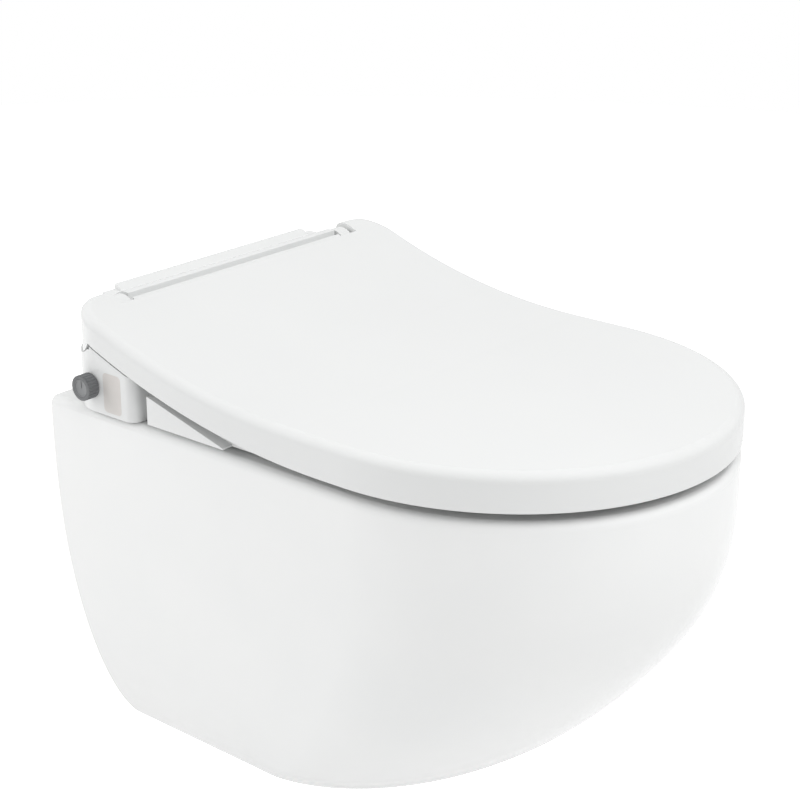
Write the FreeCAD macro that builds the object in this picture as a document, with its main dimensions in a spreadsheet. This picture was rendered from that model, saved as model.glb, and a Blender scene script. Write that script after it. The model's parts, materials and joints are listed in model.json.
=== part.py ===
import FreeCAD, Part
import os
import re
from math import atan2, cos, pi, radians, sin, sqrt, tan
from FreeCAD import Matrix, Placement, Rotation, Vector

# Wall hung toilet with a shower seat, in millimetres.
# The origin lies on the wall, midway between the two wall studs. +Z is up and the pan's nose points to -Y.

doc = FreeCAD.newDocument("wall_hung_toilet")
sheet = doc.addObject("Spreadsheet::Sheet", "Sizes")

sizes = {
    # pan
    "rim_height": 85,
    "pan_half_width": 184,
    "pan_length": 530,
    "pan_nose_depth": 196,
    "pan_depth": 345,
    "pan_wall": 12,
    "deck_thickness": 14,
    "rim_round": 7,
    "bottom_round": 36,
    "bowl_rear": 150,
    "front_rim": 38,
    "bowl_half_width": 128,
    "bowl_depth": 292,
    "bowl_join": 105,
    "throat_join": 185,
    # flush inlet and waste outlet
    "inlet_drop": 45,
    "inlet_radius": 27.5,
    "outlet_drop": 180,
    "outlet_radius": 51,
    "trap_radius": 38,
    "trap_low": 268,
    "trap_lead": 14.7,
    "trap_turn": 172,
    "trap_crest": 92,
    "trap_bend": 52,
    # wall fixing
    "stud_spacing": 180,
    "stud_hole_radius": 6.1,
    "bracket_width": 50,
    "bracket_plate": 6,
    "bracket_drop": 26,
    "bracket_reach": 72,
    "stud_nut_radius": 11,
    "stud_nut_height": 10,
    "stud_washer_radius": 15,
    "washer_thickness": 2.5,
    "clamp_setback": 46,
    "clamp_radius": 4,
    "clamp_head_radius": 7,
    "clamp_head_height": 4.5,
    "clamp_washer_radius": 9,
    "clamp_washer_thickness": 1.6,
    "clamp_length": 32,
    "clamp_nut_radius": 7.5,
    "clamp_nut_height": 6.5,
    "bolt_clearance": 0.5,
    # seat fixing
    "mount_spacing": 155,
    "mount_setback": 92,
    "mount_hole_radius": 7.5,
    "mount_plate_half_width": 98,
    "mount_plate_length": 31.5,
    "mount_plate_thickness": 8,
    "mount_bolt_radius": 4,
    "mount_head_radius": 8,
    "mount_head_height": 4,
    "mount_bolt_length": 44,
    "mount_bush_length": 26,
    "mount_nut_radius": 12,
    "mount_nut_height": 9,
    # hinge, measured from the wall and from the rim
    "hinge_setback": 37,
    "hinge_rise": 68.5,
    "pin_radius": 4,
    "pin_end": 162,
    "running_gap": 0.05,
    "bush_radius": 6.2,
    "barrel_radius": 17.5,
    "barrel_half_length": 128.5,
    "seam_front": 9.5,
    "seam_back": 4,
    "seam_floor": 11,
    "damper_radius": 8,
    "damper_length": 84,
    "damper_inset": 2.5,
    # lid
    "lid_half_width": 188,
    "lid_front": 529,
    "lid_rear": 27,
    "lid_nose_depth": 196,
    "lid_top": 39.5,
    "lid_edge": 9,
    "lid_flat_end": 279,
    "edge_flat_end": 310,
    "lid_wall": 4,
    "lid_round": 8,
    "ear_radius": 20,
    "ear_start": 146,
    "ear_join_angle": 26,
    "notch_half_width": 144.5,
    "notch_setback": 53,
    "rear_corner": 36,
    "lid_buffer_radius": 7,
    "lid_buffer_height": 2.7,
    # seat ring
    "lid_overhang": 2,
    "seat_inset": 2.5,
    "seat_rear": 121,
    "seat_lift": 5,
    "flange_rise": 29,
    "flange_front": 206,
    "flange_edge": 1,
    "seat_step": 13,
    "seat_round": 6,
    "seat_top_gap": 3,
    "seat_hole_front": 468,
    "seat_hole_rear": 203,
    "seat_hole_half_width": 104,
    "knuckle_radius": 16.5,
    "knuckle_start": 131,
    "knuckle_end": 143.5,
    "tunnel_half_width": 47,
    "tunnel_gap": 3,
    "seat_buffer_radius": 9,
    "seat_buffer_gap": 0.3,
    # housing
    "housing_half_width": 186,
    "housing_rear": 22,
    "housing_front": 105,
    "housing_front_corner": 9,
    "housing_wall": 3,
    "housing_lift": 1,
    "housing_gap": 3,
    "trough_radius": 21,
    "core_half_width": 128.5,
    "core_front": 112,
    "core_gap": 2.5,
    "ledge_rear": 9,
    "ledge_top": 80,
    "lip_top": 85,
    "lip_half_width": 116,
    "lip_foot": 19,
    "lip_front": 13,
    "ledge_low": 40,
    "lip_round": 1.8,
    "hood_half_width": 40,
    "hood_front": 156,
    "hood_rise": 13.3,
    "hood_round": 5,
    "base_thickness": 3,
    "base_gap": 0.4,
    "post_radius": 4.5,
    "post_x": 112,
    "post_rear": 33,
    "post_front": 96,
    "screw_radius": 1.6,
    "screw_head_radius": 3.4,
    "screw_head_height": 2.4,
    "screw_length": 14,
    # knob and valve
    "knob_setback": 55,
    "knob_rise": 23.5,
    "knob_radius": 10.8,
    "knob_length": 10.5,
    "knob_gap": 0.6,
    "knob_round": 1.6,
    "knob_cap_radius": 7.6,
    "knob_cap_depth": 1.4,
    "spindle_radius": 4,
    "spindle_seat": 7,
    "trim_rear": 70,
    "trim_front": 91,
    "trim_low": 4,
    "trim_high": 38,
    "trim_thickness": 1.2,
    "trim_round": 4,
    "valve_gap": 14,
    "valve_length": 52,
    "valve_rear": 34,
    "valve_front": 80,
    "valve_height": 25,
    "valve_round": 3,
    "cartridge_radius": 9,
    "cartridge_length": 30,
    "cartridge_depth": 12,
    # water supply
    "nipple_radius": 10.5,
    "nipple_bore": 6,
    "nipple_reach": 18,
    "nipple_inside": 12,
    "nipple_collar_radius": 13,
    "nipple_collar_length": 4,
    "filter_thickness": 3,
    "filter_depth": 8,
    "tube_bore": 2.6,
    "inlet_setback": 72,
    "supply_setback": 45,
    "supply_rise": 25,
    "supply_turn": 80,
    "supply_bend": 12,
    "wash_tube_radius": 3,
    "wash_tube_bore": 1.9,
    "wash_tube_rise": 20,
    "wash_tube_bend": 9,
    "wash_tube_setback": 63,
    "bidet_tube_setback": 73,
    # nozzles
    "nozzle_spacing": 32,
    "nozzle_angle": 18,
    "nozzle_radius": 7,
    "nozzle_exit": 158,
    "nozzle_exit_rise": 13,
    "nozzle_length": 100,
    "nozzle_bore": 2,
    "nozzle_tip_length": 13,
    "nozzle_slide_gap": 0.08,
    "cylinder_wall": 2.2,
    "cylinder_cap": 5,
    "cylinder_short": 12,
    "nozzle_hole_gap": 1,
    "foot_half_width": 6,
    "foot_rear": 86,
    "foot_front": 100,
    "overrun": 10,
}

for row, (alias, value) in enumerate(sizes.items(), 1):
    sheet.set(f"A{row}", alias)
    sheet.set(f"B{row}", str(value))
    sheet.setAlias(f"B{row}", alias)
doc.recompute()


class Values:
    def __getattr__(self, alias):
        return float(sheet.get(alias))


s = Values()
x_axis = Vector(1, 0, 0)
y_axis = Vector(0, 1, 0)
z_axis = Vector(0, 0, 1)
hinge = Vector(0, -s.hinge_setback, s.rim_height + s.hinge_rise)
nodes = {}


# Names a finished sub-part, whose label is its file's name
def keep(label, solid):
    solid.Label = label
    nodes[label] = solid
    return solid


def feature(label, shape):
    solid = doc.addObject("Part::Feature", label)
    solid.Shape = shape.removeSplitter()
    return keep(label, solid)


# Turns words into cells of the sheet, so that a formula reads as plain names
def bound(formula):
    return re.sub(r"[a-z]\w*", r"Sizes.\g<0>", formula)


def place(solid, direction, start):
    solid.Placement = Placement(Vector(), Rotation(z_axis, direction))
    for axis, formula in zip("xyz", start):
        solid.setExpression(f"Placement.Base.{axis}", bound(formula))
    return solid


def rod(radius, length, direction, start):
    solid = doc.addObject("Part::Cylinder", "rod")
    solid.setExpression("Radius", bound(radius))
    solid.setExpression("Height", bound(length))
    return place(solid, direction, start)


def hexagon(radius, length, direction, start):
    solid = doc.addObject("Part::Prism", "hexagon")
    solid.Polygon = 6
    solid.setExpression("Circumradius", bound(radius))
    solid.setExpression("Height", bound(length))
    return place(solid, direction, start)


def block(spans, start):
    solid = doc.addObject("Part::Box", "block")
    for name, formula in zip(("Length", "Width", "Height"), spans):
        solid.setExpression(name, bound(formula))
    return place(solid, z_axis, start)


def cut(base, tool):
    solid = doc.addObject("Part::Cut", "cut")
    solid.Base = base
    solid.Tool = tool
    return solid


def fuse(*pieces):
    solid = doc.addObject("Part::MultiFuse", "fuse")
    solid.Shapes = pieces
    return solid


# The same piece on the other side of the middle plane, both in one node
def pair(label, solid):
    mirror = doc.addObject("Part::Mirroring", "mirror")
    mirror.Source = solid
    mirror.Normal = x_axis
    both = doc.addObject("Part::Compound", label)
    both.Links = [solid, mirror]
    return keep(label, both)


# Shapes made in code, in the sheet's sizes
def bar(low, high):
    return Part.makeBox(*(high - low), low)


def round_bar(radius, start, end):
    return Part.makeCylinder(radius, (end - start).Length, start, end - start)


def face_of(edges):
    return Part.Face(Part.Wire(Part.__sortEdges__(edges)))


def line(a, b):
    return Part.LineSegment(a, b).toShape()


def arc(a, middle, b):
    return Part.Arc(a, middle, b).toShape()


def mirrored(shape):
    return shape.mirror(Vector(), x_axis)


# A half ellipse that bulges to -Y, from a unit half circle
def nose(half_width, depth, centre_y, z):
    unit = arc(Vector(-1, 0, 0), Vector(0, -1, 0), Vector(1, 0, 0))
    stretch = Matrix(half_width, 0, 0, 0, 0, depth, 0, centre_y, 0, 0, 1, z, 0, 0, 0, 1)
    return unit.transformGeometry(stretch).Edges[0]


# A D outline: straight back and sides, and a half ellipse in front
def d_outline(half_width, back_y, front_y, depth, z):
    centre_y = front_y + depth
    left_back = Vector(-half_width, back_y, z)
    right_back = Vector(half_width, back_y, z)
    left = Vector(-half_width, centre_y, z)
    right = Vector(half_width, centre_y, z)
    edges = [
        line(right_back, left_back),
        line(left_back, left),
        nose(half_width, depth, centre_y, z),
        line(right, right_back),
    ]
    return Part.Wire(edges)


def ellipse_outline(half_width, half_length, centre_y, z):
    front = nose(half_width, half_length, centre_y, z)
    rear = nose(half_width, -half_length, centre_y, z)
    return Part.Wire([front, rear])


def prism(outline, bottom, top):
    base = Part.Face(outline)
    base.translate(Vector(0, 0, bottom))
    return base.extrude(Vector(0, 0, top - bottom))


# A D plan with rounded back corners, as an upright solid
def d_prism(half_width, back_y, front_y, depth, corner, bottom, top):
    solid = prism(d_outline(half_width, back_y, front_y, depth, 0), bottom, top)
    corners = [e for e in solid.Edges if is_upright(e) and abs(e.Vertexes[0].Y - back_y) < s.running_gap]
    return solid.makeFillet(corner, corners)


def is_upright(edge):
    a, b = edge.Vertexes[0].Point, edge.Vertexes[-1].Point
    return abs(a.x - b.x) < s.running_gap and abs(a.y - b.y) < s.running_gap


# An edge that runs straight across the part
def across(edge):
    box = edge.BoundBox
    return box.YLength < s.running_gap and box.ZLength < s.running_gap


# The lid's side profile: flat in front, then hollow arcs that run into the ear's disc
lid_top = s.rim_height + s.lid_top
lid_edge = s.rim_height + s.lid_edge
hinge_run = s.lid_flat_end - s.hinge_setback
hinge_fall = lid_top - hinge.z
top_arc_radius = (hinge_run**2 + hinge_fall**2 - s.ear_radius**2) / (2 * (s.ear_radius - hinge_fall))
top_arc_centre = Vector(0, -s.lid_flat_end, lid_top + top_arc_radius)
ear_join = hinge - Vector(0, cos(radians(s.ear_join_angle)), sin(radians(s.ear_join_angle))) * s.ear_radius
edge_run = ear_join.y + s.edge_flat_end
edge_rise = ear_join.z - lid_edge
edge_arc_radius = (edge_run**2 + edge_rise**2) / (2 * edge_rise)
edge_arc_centre = Vector(0, -s.edge_flat_end, lid_edge + edge_arc_radius)


# The height of a hollow arc at a place along the lid, a set drop under it
def arc_height(centre, radius, drop, y):
    reach = max(y - centre.y, 0)
    return centre.z - sqrt((radius + drop) ** 2 - reach**2)


def under_top(drop, y):
    return arc_height(top_arc_centre, top_arc_radius, drop, y)


def under_edge(drop, y):
    return arc_height(edge_arc_centre, edge_arc_radius, drop, y)


# A solid across the whole width whose top follows one of the two arcs down to the flat, then to the front
def wedge(height, drop, half_width, back_y, front_y, bottom):
    points = [Vector(-half_width, y, height(drop, y)) for y in (back_y, front_y)]
    low = [Vector(-half_width, y, bottom) for y in (back_y, front_y)]
    flat_y = -s.lid_flat_end
    edges = [line(low[1], low[0]), line(low[0], points[0])]
    turn_y = max(front_y, flat_y)
    turn = Vector(-half_width, turn_y, height(drop, turn_y))
    middle_y = (back_y + turn_y) / 2
    edges.append(arc(points[0], Vector(-half_width, middle_y, height(drop, middle_y)), turn))
    if front_y < flat_y:
        edges.append(line(turn, points[1]))
    edges.append(line(points[1], low[1]))
    return face_of(edges).extrude(x_axis * (2 * half_width))


def on_ear(angle, radius):
    return hinge + Vector(0, cos(angle), sin(angle)) * radius


def lid_profile(half_width, front_y):
    to_centre = top_arc_centre - hinge
    start_angle = atan2(to_centre.z, to_centre.y)
    end_angle = -pi + radians(s.ear_join_angle)
    touch = on_ear(start_angle, s.ear_radius)
    rear = on_ear((start_angle + end_angle) / 2, s.ear_radius)
    join = on_ear(end_angle, s.ear_radius)
    flat_top = Vector(0, -s.lid_flat_end, lid_top)
    flat_edge = Vector(0, -s.edge_flat_end, lid_edge)
    front_top = Vector(0, front_y, lid_top)
    front_edge = Vector(0, front_y, lid_edge)
    middle_y = (flat_top.y + touch.y) / 2
    edge_y = (flat_edge.y + join.y) / 2
    edges = [
        line(front_edge, front_top),
        line(front_top, flat_top),
        arc(flat_top, Vector(0, middle_y, under_top(0, middle_y)), touch),
        arc(touch, rear, join),
        arc(join, Vector(0, edge_y, under_edge(0, edge_y)), flat_edge),
        line(flat_edge, front_edge),
    ]
    face = face_of(edges)
    face.translate(x_axis * -half_width)
    return face.extrude(x_axis * (2 * half_width))


# PAN
# Sections from the rim down, as shares of the depth, half width and length
depth_shares = (0, 0.1, 0.29, 0.51, 0.75, 0.92, 1)
width_shares = (1, 1, 0.985, 0.93, 0.81, 0.66, 0.53)
length_shares = (1, 1, 0.985, 0.905, 0.755, 0.585, 0.44)


def pan_skin(wall, back_y, bottom_lift):
    sections = []
    for depth, width, length in zip(depth_shares, width_shares, length_shares):
        height = s.rim_height - depth * (s.pan_depth - bottom_lift)
        half_width = width * s.pan_half_width - wall
        front_y = wall - length * s.pan_length
        nose_depth = length * s.pan_nose_depth - wall
        sections.append(d_outline(half_width, back_y, front_y, nose_depth, height))
    return Part.makeLoft(sections, True)


# Sections of the bowl from the rim to the sump: depth, half width, half length and place of its middle
bowl_depth_shares = (0, 0.12, 0.36, 0.64, 0.88, 1)
bowl_width_shares = (1, 0.985, 0.85, 0.6, 0.42, 0.3)
bowl_length_shares = (1, 0.985, 0.84, 0.57, 0.36, 0.25)
bowl_shift_shares = (0, 0, 0.03, 0.1, 0.17, 0.19)


bowl_front = s.pan_length - s.front_rim
half_bowl = (bowl_front - s.bowl_rear) / 2
bowl_middle = -(bowl_front + s.bowl_rear) / 2
sump_middle = bowl_middle + bowl_shift_shares[-1] * s.pan_length


def bowl_skin(wall):
    sections = []
    rows = zip(bowl_depth_shares, bowl_width_shares, bowl_length_shares, bowl_shift_shares)
    for depth, width, length, shift in rows:
        height = s.rim_height - depth * (s.bowl_depth + wall)
        centre_y = bowl_middle + shift * s.pan_length
        sections.append(
            ellipse_outline(width * s.bowl_half_width + wall, length * half_bowl + wall, centre_y, height)
        )
    return Part.makeLoft(sections, True)


# A round tube along straight runs joined by tangent arcs
def bent_rod(points, radius, bend):
    edges = []
    start = points[0]
    for corner, after in zip(points[1:-1], points[2:]):
        inward = (start - corner).normalize()
        outward = (after - corner).normalize()
        half_turn = inward.getAngle(outward) / 2
        cut_back = bend / tan(half_turn)
        a = corner + inward * cut_back
        b = corner + outward * cut_back
        centre = corner + (inward + outward).normalize() * (bend / sin(half_turn))
        middle = centre + (corner - centre).normalize() * bend
        edges += [line(start, a), arc(a, middle, b)]
        start = b
    edges.append(line(start, points[-1]))
    path = Part.Wire(edges)
    circle = Part.Circle(points[0], points[1] - points[0], radius)
    return path.makePipeShell([Part.Wire(circle.toShape())], True, False)


def trap_path(back_y):
    rim = s.rim_height
    return [
        Vector(0, sump_middle - s.trap_lead, rim - s.trap_low),
        Vector(0, -s.trap_turn, rim - s.trap_low),
        Vector(0, -s.trap_crest, rim - s.outlet_drop),
        Vector(0, back_y, rim - s.outlet_drop),
    ]


# The ceramic is fired as one piece; its skirt, rim, bowl, trap and flush duct meet without a gap
def make_pan():
    rim = s.rim_height
    under_deck_z = rim - s.deck_thickness
    wide = s.pan_half_width + s.overrun
    bottom = rim - s.pan_depth
    wall_side = bar(Vector(-wide, 0, bottom - s.overrun), Vector(wide, 2 * s.overrun, rim + s.overrun))
    above = bar(Vector(-wide, -s.pan_length, under_deck_z), Vector(wide, 0, rim))
    block_shape = round_pan(pan_skin(0, s.overrun, 0).cut(wall_side))
    inside = pan_skin(s.pan_wall, s.overrun, s.pan_wall).cut(wall_side)
    feature("pan_skirt", block_shape.cut(inside))
    bowl_hollow = bowl_skin(0)
    deck = inside.common(above).cut([bowl_hollow] + deck_holes())
    feature("pan_rim", round_bowl_mouth(deck))
    outlet = Vector(0, 0, rim - s.outlet_drop)
    spigot = round_bar(s.outlet_radius, outlet - y_axis * s.trap_bend, outlet)
    trap = bent_rod(trap_path(0), s.trap_radius + s.pan_wall, s.trap_bend).fuse(spigot)
    trap_hollow = bent_rod(trap_path(s.overrun), s.trap_radius, s.trap_bend)
    duct_start = Vector(0, 0, rim - s.inlet_drop)
    duct_end = Vector(0, -s.bowl_rear - s.pan_wall - s.overrun, rim - s.inlet_drop)
    duct = round_bar(s.inlet_radius + s.pan_wall, duct_start, duct_end)
    duct_hollow = round_bar(s.inlet_radius, duct_start + y_axis * s.overrun, duct_end)
    bowl = bowl_skin(s.pan_wall)
    bowl_wall = bowl.cut([bowl_hollow, above, trap_hollow, duct_hollow])
    throat = bar(Vector(-wide, -s.pan_length, rim - s.throat_join), Vector(wide, 0, rim - s.bowl_join))
    sump = bar(Vector(-wide, -s.pan_length, bottom), Vector(wide, 0, rim - s.throat_join))
    feature("pan_bowl", bowl_wall.cut([throat, sump]))
    feature("pan_throat", bowl_wall.common(throat))
    feature("pan_sump", bowl_wall.common(sump))
    feature("pan_trap", trap.cut([bowl, trap_hollow]))
    feature("pan_inlet", duct.cut([bowl, above, duct_hollow]))


# Rounds the outer edge of the rim and the edge of the underside
def round_pan(solid):
    top_z = s.rim_height
    top = [f for f in solid.Faces if abs(f.BoundBox.ZMin - top_z) < s.running_gap][0]
    edges = [e for e in top.Edges if e.BoundBox.YMin < -s.running_gap]
    solid = solid.makeFillet(s.rim_round, edges)
    underside = [f for f in solid.Faces if f.BoundBox.ZMax < top_z - s.pan_depth + s.running_gap][0]
    return solid.makeFillet(s.bottom_round, [e for e in underside.Edges if e.BoundBox.YMin < -s.running_gap])


def round_bowl_mouth(deck):
    top = [f for f in deck.Faces if abs(f.BoundBox.ZMin - s.rim_height) < s.running_gap][0]
    holes = [w for w in top.Wires if not w.isSame(top.OuterWire)]
    mouth = [e for w in holes if w.BoundBox.YLength > s.bowl_half_width for e in w.Edges]
    return deck.makeFillet(s.rim_round, mouth)


def deck_holes():
    holes = []
    for side in (-1, 1):
        clamp = Vector(side * s.stud_spacing / 2, -s.clamp_setback, s.rim_height)
        mount = Vector(side * s.mount_spacing / 2, -s.mount_setback, s.rim_height)
        down = z_axis * s.deck_thickness
        holes.append(round_bar(s.clamp_radius + s.bolt_clearance, clamp, clamp - down))
        holes.append(round_bar(s.mount_hole_radius, mount, mount - down))
    return holes


make_pan()

# WALL FIXING
rim = "rim_height"
stud_x = "stud_spacing / 2"


def make_wall_fixing():
    plate_low = "0 - bracket_drop"
    left = "stud_spacing / 2 - bracket_width / 2"
    plate = block(
        ("bracket_width", "bracket_plate", "rim_height - deck_thickness + bracket_drop"),
        (left, "0 - bracket_plate", plate_low),
    )
    arm = block(
        ("bracket_width", "bracket_reach", "bracket_plate"),
        (left, "0 - bracket_reach", "rim_height - deck_thickness - bracket_plate"),
    )
    hole_y = "0 - bracket_plate - overrun"
    stud_hole = rod("stud_hole_radius", "bracket_plate + 2 * overrun", y_axis, (stud_x, hole_y, "0"))
    clamp_hole = rod(
        "clamp_radius + bolt_clearance",
        "bracket_plate + overrun",
        z_axis,
        (stud_x, "0 - clamp_setback", "rim_height - deck_thickness - bracket_plate - overrun / 2"),
    )
    pair("wall_brackets", cut(cut(fuse(plate, arm), stud_hole), clamp_hole))
    washer_y = "0 - bracket_plate - washer_thickness"
    washer = rod("stud_washer_radius", "washer_thickness", y_axis, (stud_x, washer_y, "0"))
    washer_hole = rod("stud_hole_radius", "washer_thickness", y_axis, (stud_x, washer_y, "0"))
    pair("bracket_washers", cut(washer, washer_hole))
    nut_y = washer_y + " - stud_nut_height"
    nut = hexagon("stud_nut_radius", "stud_nut_height", y_axis, (stud_x, nut_y, "0"))
    nut_hole = rod("stud_hole_radius", "stud_nut_height", y_axis, (stud_x, nut_y, "0"))
    pair("bracket_nuts", cut(nut, nut_hole))
    clamp_y = "0 - clamp_setback"
    clamp_washer = rod("clamp_washer_radius", "clamp_washer_thickness", z_axis, (stud_x, clamp_y, rim))
    washer_bore = rod("clamp_radius", "clamp_washer_thickness", z_axis, (stud_x, clamp_y, rim))
    pair("clamp_washers", cut(clamp_washer, washer_bore))
    head_z = "rim_height + clamp_washer_thickness"
    head = hexagon("clamp_head_radius", "clamp_head_height", z_axis, (stud_x, clamp_y, head_z))
    shank = rod("clamp_radius", "clamp_length", z_axis, (stud_x, clamp_y, head_z + " - clamp_length"))
    pair("clamp_bolts", fuse(head, shank))
    nut_z = "rim_height - deck_thickness - bracket_plate - clamp_nut_height"
    clamp_nut = hexagon("clamp_nut_radius", "clamp_nut_height", z_axis, (stud_x, clamp_y, nut_z))
    nut_bore = rod("clamp_radius", "clamp_nut_height", z_axis, (stud_x, clamp_y, nut_z))
    pair("clamp_nuts", cut(clamp_nut, nut_bore))


make_wall_fixing()


# SEAT FIXING
def make_seat_fixing():
    mount_x = "mount_spacing / 2"
    mount_y = "0 - mount_setback"
    plate = block(
        ("2 * mount_plate_half_width", "mount_plate_length", "mount_plate_thickness"),
        ("0 - mount_plate_half_width", "0 - mount_setback - mount_plate_length / 2", rim),
    )
    head_z = "rim_height + mount_plate_thickness - mount_head_height"
    for side in ("", "0 - "):
        hole = rod("mount_bolt_radius", "mount_plate_thickness", z_axis, (side + mount_x, mount_y, rim))
        seat = rod("mount_head_radius", "mount_head_height", z_axis, (side + mount_x, mount_y, head_z))
        plate = cut(cut(plate, hole), seat)
    keep("mount_plate", plate)
    head = rod("mount_head_radius", "mount_head_height", z_axis, (mount_x, mount_y, head_z))
    shank_z = head_z + " - mount_bolt_length"
    shank = rod("mount_bolt_radius", "mount_bolt_length", z_axis, (mount_x, mount_y, shank_z))
    pair("mount_bolts", fuse(head, shank))
    bush_z = "rim_height - mount_bush_length"
    bush = rod("mount_hole_radius", "mount_bush_length", z_axis, (mount_x, mount_y, bush_z))
    bush_bore = rod("mount_bolt_radius", "mount_bush_length", z_axis, (mount_x, mount_y, bush_z))
    pair("mount_bushes", cut(bush, bush_bore))
    nut_z = "rim_height - mount_bush_length - mount_nut_height"
    nut = hexagon("mount_nut_radius", "mount_nut_height", z_axis, (mount_x, mount_y, nut_z))
    nut_bore = rod("mount_bolt_radius", "mount_nut_height", z_axis, (mount_x, mount_y, nut_z))
    pair("mount_nuts", cut(nut, nut_bore))


make_seat_fixing()

# HOUSING
base_low = s.rim_height + s.mount_plate_thickness
base_top = base_low + s.base_thickness
housing_low = s.rim_height + s.housing_lift
nozzle_slope = radians(s.nozzle_angle)
nozzle_way = Vector(0, -cos(nozzle_slope), -sin(nozzle_slope))


# A point along a nozzle's middle line, measured forward from its tail at rest
def along_nozzle(side, distance):
    tip = Vector(side * s.nozzle_spacing / 2, -s.nozzle_exit, s.rim_height + s.nozzle_exit_rise)
    return tip + nozzle_way * (distance - s.nozzle_length)


# An upright block with rounded corners at its back and front
def housing_plan(inset, back_corner, front_corner, bottom, top):
    half_width = s.housing_half_width - inset
    low = Vector(-half_width, inset - s.housing_front, bottom)
    high = Vector(half_width, -s.housing_rear - inset, top)
    solid = bar(low, high)
    upright = [e for e in solid.Edges if is_upright(e)]
    back = [e for e in upright if abs(e.Vertexes[0].Y - high.y) < s.running_gap]
    front = [e for e in upright if abs(e.Vertexes[0].Y - low.y) < s.running_gap]
    return solid.makeFillet(back_corner - inset, back).makeFillet(front_corner - inset, front)


def shoulders(inset, bottom):
    top = lid_top + s.ear_radius
    wide = s.housing_half_width + s.overrun
    plan = housing_plan(inset, s.rear_corner, s.housing_front_corner, bottom, top)
    drop = s.housing_gap + inset
    limit = wedge(under_edge, drop, wide, ear_join.y, -s.housing_front - s.overrun, bottom)
    rear_low = Vector(-wide, ear_join.y, bottom)
    radius = s.trough_radius + inset
    behind = s.hinge_setback - s.housing_rear - inset
    rear_high = Vector(wide, 0, hinge.z - sqrt(radius**2 - behind**2))
    trough = cross_rod(radius, wide)
    return plan.common(limit.fuse(bar(rear_low, rear_high))).cut(trough)


def cross_rod(radius, half_length):
    return round_bar(radius, hinge - x_axis * half_length, hinge + x_axis * half_length)


# The middle of the housing, which stands up under the lid
def core(inset, bottom):
    drop = s.lid_wall + s.core_gap + inset
    half_width = s.core_half_width - inset
    return wedge(under_top, drop, half_width, hinge.y - inset, inset - s.core_front, bottom)


# The ledge behind the barrel, which the open lid stands in front of
def ledge(inset):
    half_width = s.core_half_width - inset
    low = Vector(-half_width, hinge.y, s.rim_height + s.ledge_low - inset)
    high = Vector(half_width, -s.ledge_rear - inset, s.rim_height + s.ledge_top - inset)
    return bar(low, high)


# The raised lip along the back of the ledge
def ledge_lip():
    foot = s.rim_height + s.ledge_top
    top = s.rim_height + s.lip_top
    corners = [(-s.lip_foot, foot), (-s.ledge_rear, foot), (-s.ledge_rear, top), (-s.lip_front, top)]
    solid = side_block(s.lip_half_width, corners)
    edges = [e for e in solid.Edges if e.BoundBox.ZMin > top - s.running_gap or is_upright(e)]
    return solid.makeFillet(s.lip_round, edges)


# A block across the middle plane with the side profile given by its corners
def side_block(half_width, corners):
    points = [Vector(-half_width, y, z) for y, z in corners]
    side = face_of([line(a, b) for a, b in zip(points, points[1:] + points[:1])])
    return side.extrude(x_axis * (2 * half_width))


# A block whose roof runs level with the nozzles, a set height over their middle line
def sloped_block(half_width, back_y, front_y, above, bottom):
    over = s.rim_height + s.nozzle_exit_rise + above / cos(nozzle_slope)
    tops = [over + (y + s.nozzle_exit) * tan(nozzle_slope) for y in (front_y, back_y)]
    corners = [(back_y, bottom), (front_y, bottom), (front_y, tops[0]), (back_y, tops[1])]
    return side_block(half_width, corners)


# The snout over the nozzles' mouths
def hood(inset, bottom):
    front_y = inset - s.hood_front
    back_y = s.housing_wall + inset - s.core_front
    solid = sloped_block(s.hood_half_width - inset, back_y, front_y, s.hood_rise - inset, bottom)
    front = [e for e in solid.Edges if e.BoundBox.YMax < front_y + s.running_gap]
    front = [e for e in front if is_upright(e) or e.BoundBox.ZMin > bottom + s.running_gap]
    return solid.makeFillet(s.hood_round - inset, front)


# The groove along the barrel, seen as a shade line behind the closed lid's edge
def barrel_seam():
    low = hinge + Vector(-s.barrel_half_length, -s.seam_front, s.seam_floor)
    high = hinge + Vector(s.barrel_half_length, -s.seam_back, s.barrel_radius + s.overrun)
    return bar(low, high)


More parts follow.
